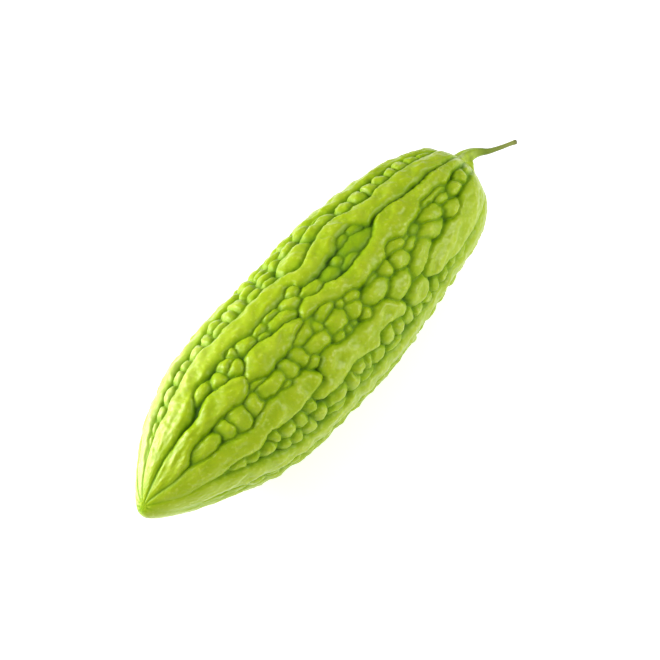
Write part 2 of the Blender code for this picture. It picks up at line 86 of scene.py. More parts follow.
# Long ridges of the upper side: station, angle, half width in degrees
RIDGES = (
    # Far ridge, broken about half way
    ((-9, -52, 13), (15, -52, 13), (30, -56, 10), (50, -59, 9), (71, -60, 8.5), (100, -60, 8)),
    ((136, -59, 5), (150, -55, 10), (177, -52, 10.5), (193, -50, 9), (209, -47, 11),
     (235, -46, 15)),
    # Upper ridge
    ((-9, -21, 16), (15, -23, 15), (25, -20.5, 15), (35, -17.5, 14.5), (44, -21.5, 11.5),
     (50, -25.7, 9.2), (58, -26, 11), (66, -25.5, 10), (73, -23, 8.7), (80, -21.5, 9),
     (90, -21.2, 9.2), (97, -22, 9), (104, -21.8, 7.4), (108.5, -22.5, 6.8), (112, -17.5, 8.5),
     (117, -14, 6.5), (121, -14.5, 7), (125, -16, 8), (130, -17.5, 7.2), (133, -17.5, 7.5),
     (137, -20.5, 9), (141, -22, 8), (147, -21.5, 7.5), (151, -18.5, 8.5), (154, -14.5, 10),
     (158, -15.5, 10), (161, -13.5, 8), (166, -13, 7.7), (172, -14, 10), (180, -13, 9.9),
     (190, -13.6, 10.4), (200, -14.8, 11.2), (211, -15, 12), (235, -15, 16)),
    # Middle ridge, in three parts
    ((-9, 7, 13), (8, 8, 12.5), (15, 11.5, 15), (23, 12, 14.5), (28, 9.5, 10.3), (36, 10, 7),
     (45, 8.5, 9.5), (55, 10, 10), (60, 10.5, 8.5), (65, 11, 3)),
    ((63, 12.5, 3.2), (66, 10.8, 4.8), (70, 9, 8), (74, 7.9, 10.2), (78, 8.6, 9.6),
     (84, 9.2, 7.8), (90, 8.8, 6.8), (95, 8.5, 5), (100, 9.2, 2.4)),
    ((100, 9, 3), (104, 6.5, 5.2), (108, 6, 5.8), (112, 8, 6), (116, 9.8, 6.8), (120, 11.5, 6.5),
     (124, 14, 5.7), (128, 15.2, 6.2), (133, 16.3, 7.2), (140, 16, 7.5), (146, 14.8, 7.7),
     (150, 11.9, 6.6), (154, 9.9, 7.9), (158, 9.2, 10.7), (162, 9.5, 12.8), (166, 8.7, 12.2),
     (170, 9, 11), (175, 9, 9.5), (179, 7, 7), (185, 7.2, 6.2), (190, 7.2, 6.7), (195, 8.5, 9),
     (199, 6.6, 7.4), (204, 5, 6), (212, 5.5, 8), (235, 8, 14)),
    # Near ridge, in three parts
    ((-9, 36, 14), (5, 34, 13), (10, 39, 13), (20, 44.5, 13.5), (30, 47.5, 12), (42, 49, 10.8),
     (50, 50, 9.5), (57, 46, 8.5), (60, 44.5, 11), (66, 44, 11), (72, 45, 10.5), (76, 45, 8.2),
     (80, 43.8, 9.2), (84, 44, 8.5), (88.5, 45.8, 5.8)),
    ((80, 55, 2.5), (84, 57, 4.8), (88, 57.3, 6.3), (91, 52.5, 11.5), (95, 49.5, 13.5),
     (99, 48.5, 13.5), (104, 49.2, 9.8), (108, 50.2, 9.8), (113, 52.2, 11.2), (118, 53.2, 11.2),
     (122, 49.8, 7.8), (126, 49, 8), (131, 51, 9), (135, 54, 8), (140, 58.5, 4.5)),
    ((157, 57, 3.5), (161, 57.8, 8.2), (166, 58.2, 10.8), (172, 57.8, 11.2), (178, 58.8, 13.2),
     (184, 59, 14.5), (192, 55.5, 15), (200, 51, 17), (208, 49.5, 17), (216, 48, 16),
     (235, 48, 16)),
    # Low ridge
    ((-9, 68, 15), (10, 72, 14), (21, 75, 13), (30, 79, 12), (41, 82, 11), (51, 85, 10),
     (61, 88, 9), (80, 89, 8), (111, 88, 8.5), (151, 88, 8.5), (171, 87, 9), (185, 91, 12),
     (208, 88, 16), (235, 88, 18)),
)

# Warts of the upper side, by the furrow that they fill: first and last station,
# lowest and highest angle, and lean in degrees
WARTS = (
    # On and beyond the far ridge
    (99.5, 107, -67, -51, 0), (107, 116.5, -69, -58.5, 0), (116, 126, -70, -62, 0),
    (126, 137, -70, -54, 0), (182, 190.5, -70, -59, 0), (190, 198.5, -72, -58, 0),
    (198, 206, -73, -57, 0), (205.5, 212.5, -75, -57, 0), (212, 220, -78, -58, 0),
    # Between the far ridge and the upper one
    (16.5, 21, -48, -38, 0), (21.5, 26, -46, -36, 0), (26.5, 31, -44, -35.5, 0),
    (31.5, 38, -44, -34, 0), (38, 47, -44, -34.5, 0), (47, 54, -46, -36, 0),
    (53.5, 60, -47, -38, 0), (60, 67.5, -47, -35.5, 0), (67.5, 74, -46, -35, 0),
    (74, 81.5, -40.5, -31, 0), (74, 82, -51, -42, 0), (81, 88, -48, -32, 0),
    (87, 94.5, -50, -32, 0), (94, 103.5, -39, -31, 0), (103, 109.5, -37, -30.5, 0),
    (94, 104, -50, -40, 0), (104, 113, -48, -38, 0), (113, 121, -50, -41.5, 0),
    (112, 132, -40.5, -23, -5), (106, 115, -58, -49, 0), (121, 132, -52, -42, 0),
    (115, 126, -62, -52, 0), (132, 152, -43, -31.5, 0), (132, 143, -55, -45, 0),
    (143, 152, -50, -44, 0), (152.5, 161, -40, -27.5, -12), (161, 168, -40, -24.5, -10),
    (168, 175, -39, -24.5, -10), (175, 182, -37, -24.5, -8), (181.5, 188, -38, -25, -8),
    (187, 194, -38, -25.5, -8), (193, 200, -38, -26.5, 0), (199, 207, -37, -27, 0),
    # Between the upper ridge and the middle one
    (44.5, 53.5, -15.5, -4.5, 0), (53, 60.8, -10.5, 0.5, 15), (60, 67.5, -12.5, -3, 10),
    (62, 69, -7, 5, -35), (66.5, 71.5, -15.5, -7, 0), (70.5, 80.5, -13, -3, 0),
    (80.3, 88, -11, -5, 0), (81, 86, -5, -0.5, 0), (88.3, 97, -12, -6.5, 0),
    (87, 101.5, -6.5, 2.5, 10), (97, 107, -11.5, 0, 25), (103, 110, -15, -6.5, 10),
    (107.5, 119.5, -6, 2.5, 10),
    # Between the middle ridge and the near one
    (27.5, 40, 19.5, 35, -5), (41, 47.5, 19, 37.5, 0), (47, 55, 18.5, 40, 8),
    (55, 62.5, 19.5, 37.5, 0), (61.5, 69, 16.5, 21, 0), (62.5, 78, 20, 32.5, 0),
    (75, 83.5, 20.5, 34.5, 0), (71.5, 77.5, 31.5, 37.5, 0), (83.3, 90, 18, 34, -12),
    (87, 103, 12, 21.5, -12), (98.5, 103.8, 14, 25.5, 0), (86.5, 92.8, 31, 39.5, 0),
    (90.5, 104, 21.5, 34.8, 0), (103.7, 115.5, 20.5, 34.5, 0), (103.3, 109, 32, 39, 0),
    (102.5, 115, 12, 20, -14), (114, 118.5, 17.5, 24, 0), (118, 125.5, 18, 27.5, 0),
    (115, 123, 24.5, 36.5, 0), (119, 125, 34.5, 44, 0), (123.8, 139.5, 26.3, 40, 8),
    (139, 146.3, 23, 35, 0), (146.3, 156.5, 25.5, 39.5, 10), (135, 150.5, 37.5, 53, 0),
    (148, 159.3, 18.3, 27.8, 12), (156, 164.3, 26.8, 34, 0), (165.5, 180, 29, 42.5, 15),
    (171.5, 185, 20.5, 33.5, 18), (184.5, 191.5, 19, 29.5, 0), (150, 170.5, 36, 51, -22),
    (183.5, 194, 31, 45, 0), (177, 192, 13.5, 20, 0), (192.5, 201.5, 19.5, 31.5, 0),
    (200.5, 209, 15, 30.5, 0), (207.5, 221, 14, 35, 0),
    # Between the near ridge and the low one
    (37, 43, 61, 68, 0), (43, 49.5, 61, 69, 0), (48.8, 56.5, 61, 72, 0), (54.5, 60, 56, 65.5, 0),
    (59.5, 67.5, 56, 69.5, 0), (67, 73.3, 57, 69, 0), (73.5, 79.3, 53.5, 64, 0),
    (57, 63, 68, 77, 0), (62.5, 69.5, 70, 79, 0), (69, 76.3, 67.5, 82, 0),
    (75.5, 83.5, 64, 75, 0), (83.5, 97, 64.5, 75, 0), (84, 93, 75, 82, 0), (96.5, 104, 63, 79, 0),
    (101.5, 109, 59.5, 71.5, 0), (107.5, 112.8, 62.5, 74.5, 0), (112, 121, 64.5, 76, 0),
    (103, 112, 74, 81, 0), (121.3, 129, 57.5, 71, 0), (128.5, 136, 60.5, 73, 0),
    (122, 132, 72.5, 80, 0), (135.5, 142, 64, 75, 0), (142, 157, 53.5, 71, 0),
    (142.5, 149.5, 70.5, 79.5, 0), (149.5, 157, 70.5, 79.5, 0), (156.5, 163, 69, 79, 0),
    (163, 170, 70, 79, 0), (170, 177, 71.5, 79, 0), (177, 185, 75, 83, 0),
)

# Warts that lie deeper than the rest
SUNKEN_WARTS = (
    (119.5, 128.5, -4.5, 5.5, 0), (128, 133.5, -5, 1.5, 0), (131, 140, 1, 7.5, 0),
    (133.5, 152.5, -7, 5.5, 6), (137, 144, -13.5, -6.5, 0), (144, 151, -13.5, -5.5, 0),
    (109.5, 114, 34.8, 40.5, 0), (113.5, 116.5, 35, 39.5, 0), (130.5, 138, 23.5, 29, 0),
    (158.3, 162, 22, 26.5, 0), (163.5, 169.5, 21.5, 29, 0),
)

# The underside, in mm and degrees: its ridges, and those above it on either side
UNDER_RIDGES = (118.0, 149.0, 180.0, 211.0, 241.0, 270.0)
RESTING_RIDGE = 180.0
FIRST_UPPER_RIDGE = 300.0
LAST_UPPER_RIDGE = 88.0
UNDER_SEED = 41

# Ridges of the underside: their ends, the points of each path, where one may be
# broken, how far and how fast it wanders, and its half width
UNDER_RIDGE_ENDS = (-9.0, 235.0)
UNDER_RIDGE_POINTS = 9
BROKEN_BETWEEN = (70.0, 170.0)
WANDER = (1.5, 3.5)
RESTING_WANDER = 0.5
WANDER_PITCH = 24.0
UNDER_WIDTH = 8.5
RESTING_WIDTH = 10.0
WIDTH_VARIATION = 1.0

# They widen by this much before one station and after another, over a short stretch
WIDENS_BY = 8.0
WIDENS_BEFORE = 34.0
WIDENS_AFTER = 190.0
WIDENS_OVER = 20.0

# Warts of the underside: where a row starts and ends, the room left for a ridge,
# where and how often a furrow holds two beside each other, and their unevenness
ROW_STARTS = (20.0, 26.0)
ROW_ENDS = 202.0
ROOM_FOR_RIDGE = 7.5
UNDER_WART_LENGTH = (6.5, 12.0)
WART_OVERLAP = 0.2
FURROW_SPLIT = (0.38, 0.62)
SPLIT_CHANCE = 0.75
UNDER_WART_SHIFT = 1.8
UNDER_WART_LEAN = 22.0

# How ridges and warts stand up and meet: lengths in mm, crowns and depths as shares
RIDGE_ROUNDING = 4.7
DOME_POWER = 0.6
WART_SQUARENESS = 2.1
LEAST_CROWN = 0.64
CROWN_PER_MM = 0.1
SUNKEN_CROWN = 0.56
OVERGROWTH = 1.1
CREASE_WIDTH = 0.65
CREASE_DEPTH = 0.42
FAR_AWAY = 9.0

# At the very tip, a degree of turn still counts as this many mm
LEAST_PER_DEGREE = 0.1

# The ridges gather a little above the tip of the axis, in mm
GATHER_LIFT = 6.0
GATHER_REACH = 16.0

# Patches of smoother skin: angle and spread in degrees, station and reach in mm,
# and how much of the relief is taken away
SMOOTH_PATCHES = ((98.0, 58.0, 0.0, 60.0, 0.8), (84.0, 26.0, 208.0, 46.0, 0.7))

# The resting ridge is even: unevenness sets in over this many degrees beside it
RESTING_SPREAD = 30.0

# Random fields over the skin: seed, longest and shortest wave in mm, and how many
WAVER_ALONG = (3, 26.0, 9.0, 9)
WAVER_ACROSS = (5, 26.0, 9.0, 9)
JAGS_ALONG = (7, 6.0, 2.8, 18)
JAGS_ACROSS = (9, 6.0, 2.8, 18)
HOLLOW_FIELD = (11, 60.0, 22.0, 9)
LUMP_FIELD = (21, 17.0, 7.0, 14)
DIMPLE_FIELD = (27, 7.0, 2.6, 24)

# How far edges waver, and how deep broad hollows and fine dimples go, in mm. Lumps
# are a share of the ridge's height, and the deepest dimple is a share of the usual.
WAVER = 0.4
JAGGEDNESS = 0.18
HOLLOW = 0.35
LUMPINESS = 0.22
DIMPLE = 0.3
DEEPEST_DIMPLE = 1.2

# Stalk: station, offset in Y, offset in Z from the axis, radius, depth of its ribs
STALK_PATH = (
    (212.5, -0.4, 0.0, 9.0, 0.2), (216.0, -0.2, 0.0, 8.4, 0.22), (218.5, 0.3, 0.0, 7.3, 0.22),
    (220.2, 0.9, 0.0, 6.2, 0.19), (222.0, 1.4, 0.0, 5.0, 0.15), (224.4, 1.9, 0.1, 3.9, 0.11),
    (227.0, 1.5, 0.2, 3.0, 0.08), (229.3, 0.4, 0.3, 2.35, 0.07), (231.5, -1.4, 0.4, 1.8, 0.06),
    (233.8, -3.7, 0.4, 1.35, 0.06), (236.6, -5.5, 0.4, 1.1, 0.06), (240.0, -7.3, 0.3, 1.0, 0.06),
    (243.4, -8.9, 0.2, 0.95, 0.06), (245.9, -10.1, 0.0, 1.1, 0.06),
    (246.4, -10.35, 0.0, 0.95, 0.06),
)
STALK_SIDES = 48
STALK_STEPS = 90
STALK_RIBS = 5

# The foot stands square to the fruit's end up to one station, and follows the
# stalk's path from another
FOOT_SQUARE_TO = 219.0
FOOT_FOLLOWS_FROM = 226.0

# Fineness of the skin, in rings and in degrees: finer above than below, and its
# rings a little closer at both ends
SKIN_RINGS = 318
END_CROWDING = 0.25
UPPER_STEP = 0.9
UPPER_REACH = 100.8
UNDER_STEPS = 86

# The frame's box starts at the blossom tip
FRUIT_START = round(CAD_BOX[0][0] / MM, 3)
AXIS_HEIGHT = GREATEST_RADIUS - FLAT_SPOT_DEPTH

# Where a painted sheen lies on the crests: a pale colour that stands for the key light's glare
# on the flank that faces it. Angle and spread in degrees, and the stations where it starts to
# fade and is gone
PAINTED_SHEEN_ANGLE = -60.0
PAINTED_SHEEN_SPREAD = 30.0
PAINTED_SHEEN_FROM = 12.6
PAINTED_SHEEN_TO = 96.6

# Colours in everyday 0 to 255 values. A ramp gives the colour at places from 0 to 1,
# up the skin from crease to crest and along the stalk from foot to cut.
# The skin's ramp is darker in the creases, which is painted shade; its yellower crests are partly
# the skin's own tone
SKIN_RAMP = (
    (0.0, (64, 108, 0)), (0.3, (114, 154, 0)), (0.6, (147, 179, 0)), (1.0, (165, 188, 0)),
)
PATCH_COLOUR = (184, 206, 52)
PAINTED_SHEEN_COLOUR = (222, 232, 150)
# The colour of the painted sheen: pale crests where the key light glares
FLECK_COLOUR = (206, 222, 92)
STALK_RAMP = (
    (0.0, (176, 202, 24)), (0.4, (164, 192, 12)), (0.58, (116, 138, 12)),
    (0.75, (122, 136, 36)), (0.94, (146, 154, 62)), (0.99, (120, 118, 58)),
)
STREAK_COLOUR = (92, 116, 30)

# How strongly patches, the painted sheen, flecks, the shiny coat and the stalk's streaks show
PATCH_SHARE = 0.3
PAINTED_SHEEN_SHARE = 0.65
FLECK_SHARE = 0.32
COAT_SHARE = 0.3
STREAK_SHARE = 0.35

# Ranges of the skin's height over which crests and the painted sheen set in, and over which it
# gets smoother from crease to crest
CREST_RANGE = (0.45, 0.95)
PAINTED_SHEEN_RANGE = (0.3, 1.0)
SMOOTHING_RANGE = (0.1, 0.9)
SKIN_ROUGHNESS = (0.55, 0.36)

# Ranges of the noise that patches and flecks are cut from
PATCH_RANGE = (0.42, 0.66)
FLECK_RANGE = (0.57, 0.70)

# Values for the shared effects, per metre for scales, and the depth of the grain
SKIN_MOTTLING = {"Patch Scale": 130.0, "Fleck Scale": 560.0}
SKIN_PORES = {"Pore Scale": 900.0, "Dimple Scale": 340.0}
SKIN_BUMP = {"Strength": 0.5, "Distance": 0.0006}
STALK_MOTTLING = {"Patch Scale": 240.0, "Fleck Scale": 900.0}
STALK_PORES = {"Pore Scale": 1800.0, "Dimple Scale": 500.0}
STALK_BUMP = {"Strength": 0.4, "Distance": 0.0003}
PORE_SHARE = 0.3

# Finishes
SKIN_FINISH = {
    "Coat Roughness": 0.32,
    "Specular IOR Level": 0.25,
    "Specular Tint": (1.0, 1.0, 0.8, 1.0),
    "Subsurface Weight": 0.25,
    "Subsurface Radius": (0.7, 1.0, 0.1),
    "Subsurface Scale": 0.003,
}
STALK_FINISH = {"Roughness": 0.5}
FLOOR_FINISH = {
    "Base Color": (0.9, 0.9, 0.9, 1.0),
    "Roughness": 0.9,
    "Emission Color": (0.92, 0.92, 1.0, 1.0),
    "Emission Strength": 0.53,
}
SURROUNDINGS = {"Color": (1.0, 1.0, 1.0, 1.0), "Strength": 0.43}
FLOOR_REACH = 3.0

# Camera, in metres and degrees, and in mm for the lens
CAMERA_AZIMUTH = -50.90
CAMERA_ELEVATION = 60.0
CAMERA_DISTANCE = 0.9
CAMERA_AIM = (-0.00511, -0.00570, 0.0361)
CAMERA_LENS = 113.78
CAMERA_SENSOR = 36.0

# Square soft lights: name, metres right, up and back from the camera's aim, as the
# camera sees it, size in metres and power in watts
LIGHTS = (
    ("key", (-0.55, 0.14, 0.12), 0.22, 3.1),
    ("fill", (0.6, 0.2, 0.32), 0.35, 2.5),
    ("front", (-0.4, 0.1, 0.36), 0.2, 1.0),
)

# Sockets of a node that mixes two colours
MIX_AMOUNT, MIX_FIRST, MIX_SECOND, MIX_RESULT = 0, 6, 7, 2


def smooth_through(knots, values, at):
    """A curve through the knots that never swings past them (monotone cubic)."""
    knots = np.asarray(knots, float)
    values = np.asarray(values, float)
    gap = np.diff(knots)
    slope = np.diff(values) / gap
    tangent = np.zeros_like(values)
    tangent[0] = slope[0]
    tangent[-1] = slope[-1]
    for i in range(1, len(slope)):
        if slope[i - 1] * slope[i] > 0:
            before = 2 * gap[i] + gap[i - 1]
            after = gap[i] + 2 * gap[i - 1]
            tangent[i] = (before + after) / (before / slope[i - 1] + after / slope[i])
    at = np.clip(at, knots[0], knots[-1])
    i = np.clip(np.searchsorted(knots, at, side="right") - 1, 0, len(gap) - 1)
    t = (at - knots[i]) / gap[i]
    rise = gap[i] * ((t ** 3 - 2 * t ** 2 + t) * tangent[i] + (t ** 3 - t ** 2) * tangent[i + 1])
    return values[i] + (3 * t ** 2 - 2 * t ** 3) * (values[i + 1] - values[i]) + rise


def ease(value):
    """0 below 0, 1 above 1, and a smooth step between."""
    value = np.clip(value, 0.0, 1.0)
    return value * value * (3 - 2 * value)


def outer_radius(station):
    """Radius over the ridges. Its square is interpolated, which rounds the tip."""
    stations, radii = zip(*OUTLINE)
    squared = smooth_through(stations, np.square(radii), station)
    return np.sqrt(np.maximum(squared, 0.0))


def axis_point(station):
    """Offset of the fruit's axis in Y and its height."""
    sway = smooth_through(*zip(*SWAY), station)
    lift = END_LIFT * (station / AXIS_MIDDLE - 1) ** 2
    return sway, AXIS_HEIGHT + lift


def turn_between(angle, centre):
    """Signed turn in degrees from the centre to the angle, the short way round."""
    return (angle - centre + 180.0) % 360.0 - 180.0


def beside(angle, centre, spread):
    """1 within half the spread of an angle, easing to 0 at one and a half times it."""
    return ease(1.5 - np.abs(turn_between(angle, centre)) / spread)


def gathered(angle, radius):
    """The angle seen from the point where the ridges gather, near the tip."""
    lift = GATHER_LIFT * (1 - ease(radius / GATHER_REACH))
    sideways = radius * np.sin(np.radians(angle))
    upwards = radius * np.cos(np.radians(angle)) - lift
    return np.degrees(np.arctan2(sideways, upwards))


def ripple(station, angle, seed, longest, shortest, waves):
    """A smooth random field, mostly between -1 and 1, that closes round the fruit."""
    rng = np.random.default_rng(seed)
    girth = math.tau * GREATEST_RADIUS
    field = np.zeros_like(angle)
    for _ in range(waves):
        size = rng.uniform(math.tau / longest, math.tau / shortest)
        heading = rng.uniform(0, math.tau)
        turns = round(size * math.sin(heading) * girth / math.tau)
        pitch = size * math.cos(heading)
        field += np.sin(np.radians(angle) * turns + pitch * station + rng.uniform(0, math.tau))
    return field / math.sqrt(waves)


def pits(station, angle, field, deepest):
    """A random field as pits, from 0 where there is none to the deepest."""
    return np.clip((1 - ripple(station, angle, *field)) / 2, 0.0, deepest)


def calm_ends(station):
    """How far the relief stands out along the fruit: less where it is slim."""
    return ease(outer_radius(station) / SMOOTH_END_RADIUS)


def patch_softness(station, angle):
    """The share of the relief that the smooth patches leave."""
    left = np.ones_like(angle)
    for centre, spread, middle, reach, share in SMOOTH_PATCHES:
        nearby = 1 - ease(np.abs(station - middle) / reach)
        left -= share * beside(angle, centre, spread) * nearby
    return left


def painted_sheen_share(station, angle):
    """How much painted sheen, standing for the key light's glare, the skin carries: most on the
    far side, by the tip.
    """
    along = ease((PAINTED_SHEEN_TO - station) / (PAINTED_SHEEN_TO - PAINTED_SHEEN_FROM))
    return beside(angle, PAINTED_SHEEN_ANGLE, PAINTED_SHEEN_SPREAD) * along


def ridge_distance(path, station, angle, per_degree):
    """Distance in mm from a ridge's edge, negative inside."""
    stations, angles, widths = zip(*path)
    half_width = smooth_through(stations, widths, station) * per_degree
    across = turn_between(angle, smooth_through(stations, angles, station)) * per_degree
    past = np.maximum(stations[0] + half_width - station, station - stations[-1] + half_width)
    return np.hypot(across, np.maximum(past, 0.0)) - half_width


def wart_half_sizes(wart):
    """Half the length and half the width of a wart, in mm."""
    first, last, low, high, _ = wart
    girth_radius = float(outer_radius((first + last) / 2))
    return (last - first) / 2, (high - low) / 2 * math.radians(girth_radius)


def wart_distance(wart, station, angle, per_degree):
    """Distance in mm from a wart's edge, negative inside."""
    first, last, low, high, lean = wart
    half_long, half_wide = wart_half_sizes(wart)
    along = station - (first + last) / 2
    across = turn_between(angle, (low + high) / 2) * per_degree
    turn = math.radians(lean)
    u = (along * math.cos(turn) + across * math.sin(turn)) / half_long
    v = (across * math.cos(turn) - along * math.sin(turn)) / half_wide
    edge = (np.abs(u) ** WART_SQUARENESS + np.abs(v) ** WART_SQUARENESS) ** (1 / WART_SQUARENESS)
    return (edge - 1) * min(half_long, half_wide)


def under_ridges(rng):
    """The ridges that the fruit lies on: each wanders a little, and some are broken."""
    ridges = []
    for number, centre in enumerate(UNDER_RIDGES):
        resting = centre == RESTING_RIDGE
        breaks = [] if resting else sorted(rng.uniform(*BROKEN_BETWEEN, 1 + number % 2))
        ends = [UNDER_RIDGE_ENDS[0], *breaks, UNDER_RIDGE_ENDS[1]]
        sway = RESTING_WANDER if resting else rng.uniform(*WANDER)
        phase = rng.uniform(0, math.tau)
        for first, last in zip(ends[:-1], ends[1:]):
            path = []
            for station in np.linspace(first, last, UNDER_RIDGE_POINTS):
                past = max(0.0, WIDENS_BEFORE - station, station - WIDENS_AFTER)
                width = RESTING_WIDTH if resting else UNDER_WIDTH
                width += WIDENS_BY * min(past / WIDENS_OVER, 1.0)
                width += rng.uniform(-WIDTH_VARIATION, WIDTH_VARIATION)
                angle = centre + sway * math.sin(station / WANDER_PITCH + phase)
                path.append((station, angle, width))
            ridges.append(tuple(path))
    return ridges


def under_warts(rng):
    """Rows of warts in the furrows of the underside."""
    centres = (LAST_UPPER_RIDGE, *UNDER_RIDGES, FIRST_UPPER_RIDGE)
    warts = []
    for low_ridge, high_ridge in zip(centres[:-1], centres[1:]):
        low = low_ridge + ROOM_FOR_RIDGE
        high = high_ridge - ROOM_FOR_RIDGE
        station = rng.uniform(*ROW_STARTS)
        while station < ROW_ENDS:
            length = rng.uniform(*UNDER_WART_LENGTH)
            split = low + (high - low) * rng.uniform(*FURROW_SPLIT)
            edges = (low, split, high) if rng.random() < SPLIT_CHANCE else (low, high)
            for bottom, top in zip(edges[:-1], edges[1:]):
                first = station + rng.uniform(-UNDER_WART_SHIFT, UNDER_WART_SHIFT)
                lean = rng.uniform(-UNDER_WART_LEAN, UNDER_WART_LEAN)
                warts.append((first, first + length, bottom, top, lean))
            station += length - WART_OVERLAP
    return warts


def swellings():
    """Every ridge and wart: its distance rule, ends, crown as a share, and rounding."""
    rng = np.random.default_rng(UNDER_SEED)
    found = []
    for path in (*RIDGES, *under_ridges(rng)):
        found.append((ridge_distance, path, path[0][0], path[-1][0], 1.0, RIDGE_ROUNDING))
    for wart in (*WARTS, *SUNKEN_WARTS, *under_warts(rng)):
        smallest = min(wart_half_sizes(wart))
        crown = min(1.0, LEAST_CROWN + CROWN_PER_MM * smallest)
        if wart in SUNKEN_WARTS:
            crown = SUNKEN_CROWN
        rounding = min(RIDGE_ROUNDING, smallest + OVERGROWTH)
        found.append((wart_distance, wart, wart[0], wart[1], crown, rounding))
    return found


def relief(stations, angles):
    """Height of the skin above its creases, as a share of the ridge height.

    Ridges and warts are domes that run into each other, and a crease is pressed
    in wherever a point is as near to one of them as it is to the next.
    """
    station, angle = np.meshgrid(stations, angles, indexing="ij")
    per_degree = np.radians(outer_radius(station))
    calm = calm_ends(station)
    wavering = station + calm * WAVER * ripple(station, angle, *WAVER_ALONG)
    wavering += calm * JAGGEDNESS * ripple(station, angle, *JAGS_ALONG)
    sideways = WAVER * ripple(station, angle, *WAVER_ACROSS)
    sideways += JAGGEDNESS * ripple(station, angle, *JAGS_ACROSS)
    turned = gathered(angle, outer_radius(station))
    turned += calm * sideways / np.maximum(per_degree, LEAST_PER_DEGREE)
    height = np.zeros_like(angle)
    nearest = np.full_like(angle, FAR_AWAY)
    second = np.full_like(angle, FAR_AWAY)
    for rule, shape, first, last, crown, rounding in swellings():
        start, stop = np.searchsorted(stations, (first - FAR_AWAY, last + FAR_AWAY))
        rows = slice(start, stop)
        distance = rule(shape, wavering[rows], turned[rows], per_degree[rows])
        slope = 1 - np.clip((OVERGROWTH - distance) / rounding, 0.0, 1.0)
        height[rows] = np.maximum(height[rows], crown * (1 - slope ** 2) ** DOME_POWER)
        second[rows] = np.minimum(second[rows], np.maximum(nearest[rows], distance))
        nearest[rows] = np.minimum(nearest[rows], distance)
    from_crease = (second - nearest) / 2 / CREASE_WIDTH
    return height * (1 - CREASE_DEPTH * np.exp(-from_crease ** 2))


def skin_shape(stations, angles):
    """Points of the skin, ring by ring, and the share of ridge height at each."""
    station, angle = np.meshgrid(stations, angles, indexing="ij")
    calm = calm_ends(station)
    off_rest = ease(np.abs(turn_between(angle, RESTING_RIDGE)) / RESTING_SPREAD)
    height = relief(stations, angles)
    height -= LUMPINESS * off_rest * height ** 2 * pits(station, angle, LUMP_FIELD, 1.0)
    height = 1 - patch_softness(station, angle) * (1 - height)
    skin = outer_radius(station) - RIDGE_HEIGHT * calm * (1 - height)
    skin -= HOLLOW * off_rest * calm * np.maximum(ripple(station, angle, *HOLLOW_FIELD), 0.0)
    dimples = pits(station, angle, DIMPLE_FIELD, DEEPEST_DIMPLE)
    skin -= DIMPLE * off_rest * calm * height * dimples
    sway, axis_height = axis_point(station)
    x = FRUIT_START + station
    y = sway - skin * np.sin(np.radians(angle))
    z = np.maximum(axis_height + skin * np.cos(np.radians(angle)), 0.0)
    return np.stack([x, y, z], axis=-1) * MM, height


def ring_mesh(name, rings, start_point, end_point):
    """A closed mesh over rings of points, with a point to close each end."""
    count, columns = rings.shape[:2]
    points = [*map(tuple, rings.reshape(-1, 3)), tuple(start_point), tuple(end_point)]
    start = count * columns
    last = start - columns
    faces = []
    for i in range(columns):
        j = (i + 1) % columns
        faces.append((start, j, i))
        faces.append((start + 1, last + i, last + j))
        for a in range(0, last, columns):
            b = a + columns
            faces.append((a + i, a + j, b + j, b + i))
    mesh = bpy.data.meshes.new(name)
    mesh.from_pydata(points, [], faces)
    mesh.update()
    mesh.shade_smooth()
    return mesh


def keep_values(mesh, name, values):
    """Keeps one number for each point of a mesh, for its material to read."""
    attribute = mesh.attributes.new(name, "FLOAT", "POINT")
    attribute.data.foreach_set("value", np.asarray(values, np.float32))


def add_piece(name, mesh, material, node):
    """Adds a piece that rides on the fruit's body and stands for its solid."""
    piece = bpy.data.objects.new(name, mesh)
    bpy.context.scene.collection.objects.link(piece)
    mesh.materials.append(material)
    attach(piece, "root")
    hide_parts(node)


def make_fruit():
    """The warted skin, closed at the tip and, under the stalk's foot, at the end."""
    share = np.linspace(0, 1, SKIN_RINGS + 1)[1:]
    crowded = (1 - np.cos(share * math.pi)) / 2
    stations = FRUIT_LENGTH * ((1 - END_CROWDING) * share + END_CROWDING * crowded)
    upper = np.arange(-UPPER_REACH, UPPER_REACH, UPPER_STEP)
    under = np.linspace(UPPER_REACH, 360.0 - UPPER_REACH, UNDER_STEPS, endpoint=False)
    angles = np.concatenate([upper, under])
    rings, height = skin_shape(stations, angles)
    pale = painted_sheen_share(*np.meshgrid(stations, angles, indexing="ij"))
    ends = []
    for station in (0.0, FRUIT_LENGTH):
        sway, axis_height = axis_point(station)
        ends.append(np.array((FRUIT_START + station, sway, axis_height)) * MM)
    mesh = ring_mesh("warted_skin", rings, *ends)
    keep_values(mesh, "height", [*height.reshape(-1), 1.0, 1.0])
    # The pale values mark a painted sheen on the crests that face the key light
    keep_values(mesh, "pale", [*pale.reshape(-1), 0.0, 0.0])
    add_piece("warted_skin", mesh, skin_material(), "fruit")


